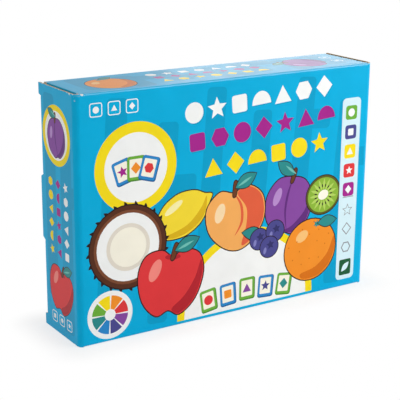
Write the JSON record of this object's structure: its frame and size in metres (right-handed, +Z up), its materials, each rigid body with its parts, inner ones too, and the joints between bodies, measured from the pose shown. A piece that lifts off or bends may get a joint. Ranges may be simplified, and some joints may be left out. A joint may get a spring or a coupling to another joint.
{
  "type": "guessing game box",
  "caption": "Closed printed board game box with tuck ends, holding wooden racks whose flip tiles turn on steel rods, with cards and a leaflet.",
  "frame": {"origin": "middle of the footprint, on the surface that the box stands on", "axes": "+X along the front, left end at -X; +Y from the front to the back; +Z up"},
  "size_m": [0.37, 0.08, 0.26],
  "materials": {
    "printed_board": "printed, glossy",
    "rack_wood": "fine sanded, matt lacquer",
    "rod_steel": "drawn wire",
    "green_tile": "moulded, gloss",
    "blue_tile": "moulded, gloss",
    "yellow_card": "printed card",
    "white_card": "printed card",
    "leaflet_paper": "matt paper"
  },
  "bodies": {
    "box": {"front_panel": "printed_board", "back_panel": "printed_board", "top_panel": "printed_board", "bottom_panel": "printed_board", "glue_flap": "printed_board", "green_rack_left_side": "rack_wood", "green_rack_right_side": "rack_wood", "green_rack_front_rail": "rack_wood", "green_rack_back_rail": "rack_wood", "green_rack_slats": "rack_wood", "blue_rack_left_side": "rack_wood", "blue_rack_right_side": "rack_wood", "blue_rack_front_rail": "rack_wood", "blue_rack_back_rail": "rack_wood", "blue_rack_slats": "rack_wood", "hinge_rods": "rod_steel", "spare_card_decks": "white_card", "rule_leaflet": "leaflet_paper"},
    "left_end": {"left_end_panel": "printed_board"},
    "left_tuck": {"left_tuck_flap": "printed_board"},
    "left_top_dust": {"left_top_dust_flap": "printed_board"},
    "left_bottom_dust": {"left_bottom_dust_flap": "printed_board"},
    "right_end": {"right_end_panel": "printed_board"},
    "right_tuck": {"right_tuck_flap": "printed_board"},
    "right_top_dust": {"right_top_dust_flap": "printed_board"},
    "right_bottom_dust": {"right_bottom_dust_flap": "printed_board"},
    "green_secret_card": {"green_secret_card": "yellow_card"},
    "blue_secret_card": {"blue_secret_card": "yellow_card"},
    "green_tile_1_1": {"green_tile_1_1": "green_tile"},
    "green_tile_1_2": {"green_tile_1_2": "green_tile"},
    "green_tile_1_3": {"green_tile_1_3": "green_tile"},
    "green_tile_1_4": {"green_tile_1_4": "green_tile"},
    "green_tile_2_1": {"green_tile_2_1": "green_tile"},
    "green_tile_2_2": {"green_tile_2_2": "green_tile"},
    "green_tile_2_3": {"green_tile_2_3": "green_tile"},
    "green_tile_2_4": {"green_tile_2_4": "green_tile"},
    "green_tile_3_1": {"green_tile_3_1": "green_tile"},
    "green_tile_3_2": {"green_tile_3_2": "green_tile"},
    "green_tile_3_3": {"green_tile_3_3": "green_tile"},
    "green_tile_3_4": {"green_tile_3_4": "green_tile"},
    "green_tile_4_1": {"green_tile_4_1": "green_tile"},
    "green_tile_4_2": {"green_tile_4_2": "green_tile"},
    "green_tile_4_3": {"green_tile_4_3": "green_tile"},
    "green_tile_4_4": {"green_tile_4_4": "green_tile"},
    "blue_tile_1_1": {"blue_tile_1_1": "blue_tile"},
    "blue_tile_1_2": {"blue_tile_1_2": "blue_tile"},
    "blue_tile_1_3": {"blue_tile_1_3": "blue_tile"},
    "blue_tile_1_4": {"blue_tile_1_4": "blue_tile"},
    "blue_tile_2_1": {"blue_tile_2_1": "blue_tile"},
    "blue_tile_2_2": {"blue_tile_2_2": "blue_tile"},
    "blue_tile_2_3": {"blue_tile_2_3": "blue_tile"},
    "blue_tile_2_4": {"blue_tile_2_4": "blue_tile"},
    "blue_tile_3_1": {"blue_tile_3_1": "blue_tile"},
    "blue_tile_3_2": {"blue_tile_3_2": "blue_tile"},
    "blue_tile_3_3": {"blue_tile_3_3": "blue_tile"},
    "blue_tile_3_4": {"blue_tile_3_4": "blue_tile"},
    "blue_tile_4_1": {"blue_tile_4_1": "blue_tile"},
    "blue_tile_4_2": {"blue_tile_4_2": "blue_tile"},
    "blue_tile_4_3": {"blue_tile_4_3": "blue_tile"},
    "blue_tile_4_4": {"blue_tile_4_4": "blue_tile"}
  },
  "joints": [
    {"name": "end_left_opens", "type": "hinge", "parent": "box", "child": "left_end", "pos_m": [-0.1832, -0.04, 0], "axis": [0, 0, 1], "range_deg": [0, 150]},
    {"name": "tuck_left_unfolds", "type": "hinge", "parent": "left_end", "child": "left_tuck", "pos_m": [-0.185, 0.036, 0], "axis": [0, 0, 1], "range_deg": [0, 75]},
    {"name": "dust_left_top_folds_out", "type": "hinge", "parent": "box", "child": "left_top_dust", "pos_m": [-0.1812, 0, 0.26], "axis": [0, 1, 0], "range_deg": [0, 75]},
    {"name": "dust_left_bottom_folds_out", "type": "hinge", "parent": "box", "child": "left_bottom_dust", "pos_m": [-0.1812, 0, 0], "axis": [0, -1, 0], "range_deg": [0, 75]},
    {"name": "end_right_opens", "type": "hinge", "parent": "box", "child": "right_end", "pos_m": [0.1832, -0.04, 0], "axis": [0, 0, -1], "range_deg": [0, 150]},
    {"name": "tuck_right_unfolds", "type": "hinge", "parent": "right_end", "child": "right_tuck", "pos_m": [0.185, 0.036, 0], "axis": [0, 0, -1], "range_deg": [0, 75]},
    {"name": "dust_right_top_folds_out", "type": "hinge", "parent": "box", "child": "right_top_dust", "pos_m": [0.1812, 0, 0.26], "axis": [0, -1, 0], "range_deg": [0, 75]},
    {"name": "dust_right_bottom_folds_out", "type": "hinge", "parent": "box", "child": "right_bottom_dust", "pos_m": [0.1812, 0, 0], "axis": [0, 1, 0], "range_deg": [0, 75]},
    {"name": "secret_card_green_lifts", "type": "slide", "parent": "box", "child": "green_secret_card", "axis": [0, -1, 0], "range_m": [0, 0.012]},
    {"name": "secret_card_blue_lifts", "type": "slide", "parent": "box", "child": "blue_secret_card", "axis": [0, -1, 0], "range_m": [0, 0.012]},
    {"name": "tile_green_1_1_flips", "type": "hinge", "parent": "box", "child": "green_tile_1_1", "pos_m": [0, 0.0231, 0.06893], "axis": [-1, 0, 0], "range_deg": [0, 105]},
    {"name": "tile_green_1_2_flips", "type": "hinge", "parent": "box", "child": "green_tile_1_2", "pos_m": [0, 0.0231, 0.06893], "axis": [-1, 0, 0], "range_deg": [0, 105]},
    {"name": "tile_green_1_3_flips", "type": "hinge", "parent": "box", "child": "green_tile_1_3", "pos_m": [0, 0.0231, 0.06893], "axis": [-1, 0, 0], "range_deg": [0, 105]},
    {"name": "tile_green_1_4_flips", "type": "hinge", "parent": "box", "child": "green_tile_1_4", "pos_m": [0, 0.0231, 0.06893], "axis": [-1, 0, 0], "range_deg": [0, 105]},
    {"name": "tile_green_2_1_flips", "type": "hinge", "parent": "box", "child": "green_tile_2_1", "pos_m": [0, 0.0231, 0.11885], "axis": [-1, 0, 0], "range_deg": [0, 105]},
    {"name": "tile_green_2_2_flips", "type": "hinge", "parent": "box", "child": "green_tile_2_2", "pos_m": [0, 0.0231, 0.11885], "axis": [-1, 0, 0], "range_deg": [0, 105]},
    {"name": "tile_green_2_3_flips", "type": "hinge", "parent": "box", "child": "green_tile_2_3", "pos_m": [0, 0.0231, 0.11885], "axis": [-1, 0, 0], "range_deg": [0, 105]},
    {"name": "tile_green_2_4_flips", "type": "hinge", "parent": "box", "child": "green_tile_2_4", "pos_m": [0, 0.0231, 0.11885], "axis": [-1, 0, 0], "range_deg": [0, 105]},
    {"name": "tile_green_3_1_flips", "type": "hinge", "parent": "box", "child": "green_tile_3_1", "pos_m": [0, 0.0231, 0.16878], "axis": [-1, 0, 0], "range_deg": [0, 105]},
    {"name": "tile_green_3_2_flips", "type": "hinge", "parent": "box", "child": "green_tile_3_2", "pos_m": [0, 0.0231, 0.16878], "axis": [-1, 0, 0], "range_deg": [0, 105]},
    {"name": "tile_green_3_3_flips", "type": "hinge", "parent": "box", "child": "green_tile_3_3", "pos_m": [0, 0.0231, 0.16878], "axis": [-1, 0, 0], "range_deg": [0, 105]},
    {"name": "tile_green_3_4_flips", "type": "hinge", "parent": "box", "child": "green_tile_3_4", "pos_m": [0, 0.0231, 0.16878], "axis": [-1, 0, 0], "range_deg": [0, 105]},
    {"name": "tile_green_4_1_flips", "type": "hinge", "parent": "box", "child": "green_tile_4_1", "pos_m": [0, 0.0231, 0.2187], "axis": [-1, 0, 0], "range_deg": [0, 105]},
    {"name": "tile_green_4_2_flips", "type": "hinge", "parent": "box", "child": "green_tile_4_2", "pos_m": [0, 0.0231, 0.2187], "axis": [-1, 0, 0], "range_deg": [0, 105]},
    {"name": "tile_green_4_3_flips", "type": "hinge", "parent": "box", "child": "green_tile_4_3", "pos_m": [0, 0.0231, 0.2187], "axis": [-1, 0, 0], "range_deg": [0, 105]},
    {"name": "tile_green_4_4_flips", "type": "hinge", "parent": "box", "child": "green_tile_4_4", "pos_m": [0, 0.0231, 0.2187], "axis": [-1, 0, 0], "range_deg": [0, 105]},
    {"name": "tile_blue_1_1_flips", "type": "hinge", "parent": "box", "child": "blue_tile_1_1", "pos_m": [0, 0.0231, 0.06893], "axis": [-1, 0, 0], "range_deg": [0, 105]},
    {"name": "tile_blue_1_2_flips", "type": "hinge", "parent": "box", "child": "blue_tile_1_2", "pos_m": [0, 0.0231, 0.06893], "axis": [-1, 0, 0], "range_deg": [0, 105]},
    {"name": "tile_blue_1_3_flips", "type": "hinge", "parent": "box", "child": "blue_tile_1_3", "pos_m": [0, 0.0231, 0.06893], "axis": [-1, 0, 0], "range_deg": [0, 105]},
    {"name": "tile_blue_1_4_flips", "type": "hinge", "parent": "box", "child": "blue_tile_1_4", "pos_m": [0, 0.0231, 0.06893], "axis": [-1, 0, 0], "range_deg": [0, 105]},
    {"name": "tile_blue_2_1_flips", "type": "hinge", "parent": "box", "child": "blue_tile_2_1", "pos_m": [0, 0.0231, 0.11885], "axis": [-1, 0, 0], "range_deg": [0, 105]},
    {"name": "tile_blue_2_2_flips", "type": "hinge", "parent": "box", "child": "blue_tile_2_2", "pos_m": [0, 0.0231, 0.11885], "axis": [-1, 0, 0], "range_deg": [0, 105]},
    {"name": "tile_blue_2_3_flips", "type": "hinge", "parent": "box", "child": "blue_tile_2_3", "pos_m": [0, 0.0231, 0.11885], "axis": [-1, 0, 0], "range_deg": [0, 105]},
    {"name": "tile_blue_2_4_flips", "type": "hinge", "parent": "box", "child": "blue_tile_2_4", "pos_m": [0, 0.0231, 0.11885], "axis": [-1, 0, 0], "range_deg": [0, 105]},
    {"name": "tile_blue_3_1_flips", "type": "hinge", "parent": "box", "child": "blue_tile_3_1", "pos_m": [0, 0.0231, 0.16878], "axis": [-1, 0, 0], "range_deg": [0, 105]},
    {"name": "tile_blue_3_2_flips", "type": "hinge", "parent": "box", "child": "blue_tile_3_2", "pos_m": [0, 0.0231, 0.16878], "axis": [-1, 0, 0], "range_deg": [0, 105]},
    {"name": "tile_blue_3_3_flips", "type": "hinge", "parent": "box", "child": "blue_tile_3_3", "pos_m": [0, 0.0231, 0.16878], "axis": [-1, 0, 0], "range_deg": [0, 105]},
    {"name": "tile_blue_3_4_flips", "type": "hinge", "parent": "box", "child": "blue_tile_3_4", "pos_m": [0, 0.0231, 0.16878], "axis": [-1, 0, 0], "range_deg": [0, 105]},
    {"name": "tile_blue_4_1_flips", "type": "hinge", "parent": "box", "child": "blue_tile_4_1", "pos_m": [0, 0.0231, 0.2187], "axis": [-1, 0, 0], "range_deg": [0, 105]},
    {"name": "tile_blue_4_2_flips", "type": "hinge", "parent": "box", "child": "blue_tile_4_2", "pos_m": [0, 0.0231, 0.2187], "axis": [-1, 0, 0], "range_deg": [0, 105]},
    {"name": "tile_blue_4_3_flips", "type": "hinge", "parent": "box", "child": "blue_tile_4_3", "pos_m": [0, 0.0231, 0.2187], "axis": [-1, 0, 0], "range_deg": [0, 105]},
    {"name": "tile_blue_4_4_flips", "type": "hinge", "parent": "box", "child": "blue_tile_4_4", "pos_m": [0, 0.0231, 0.2187], "axis": [-1, 0, 0], "range_deg": [0, 105]}
  ],
  "couplings": [
    {"joint": "tuck_left_unfolds", "follows": "end_left_opens", "ratio": 0.5},
    {"joint": "dust_left_top_folds_out", "follows": "end_left_opens", "ratio": 0.5},
    {"joint": "dust_left_bottom_folds_out", "follows": "end_left_opens", "ratio": 0.5},
    {"joint": "tuck_right_unfolds", "follows": "end_right_opens", "ratio": 0.5},
    {"joint": "dust_right_top_folds_out", "follows": "end_right_opens", "ratio": 0.5},
    {"joint": "dust_right_bottom_folds_out", "follows": "end_right_opens", "ratio": 0.5}
  ]
}
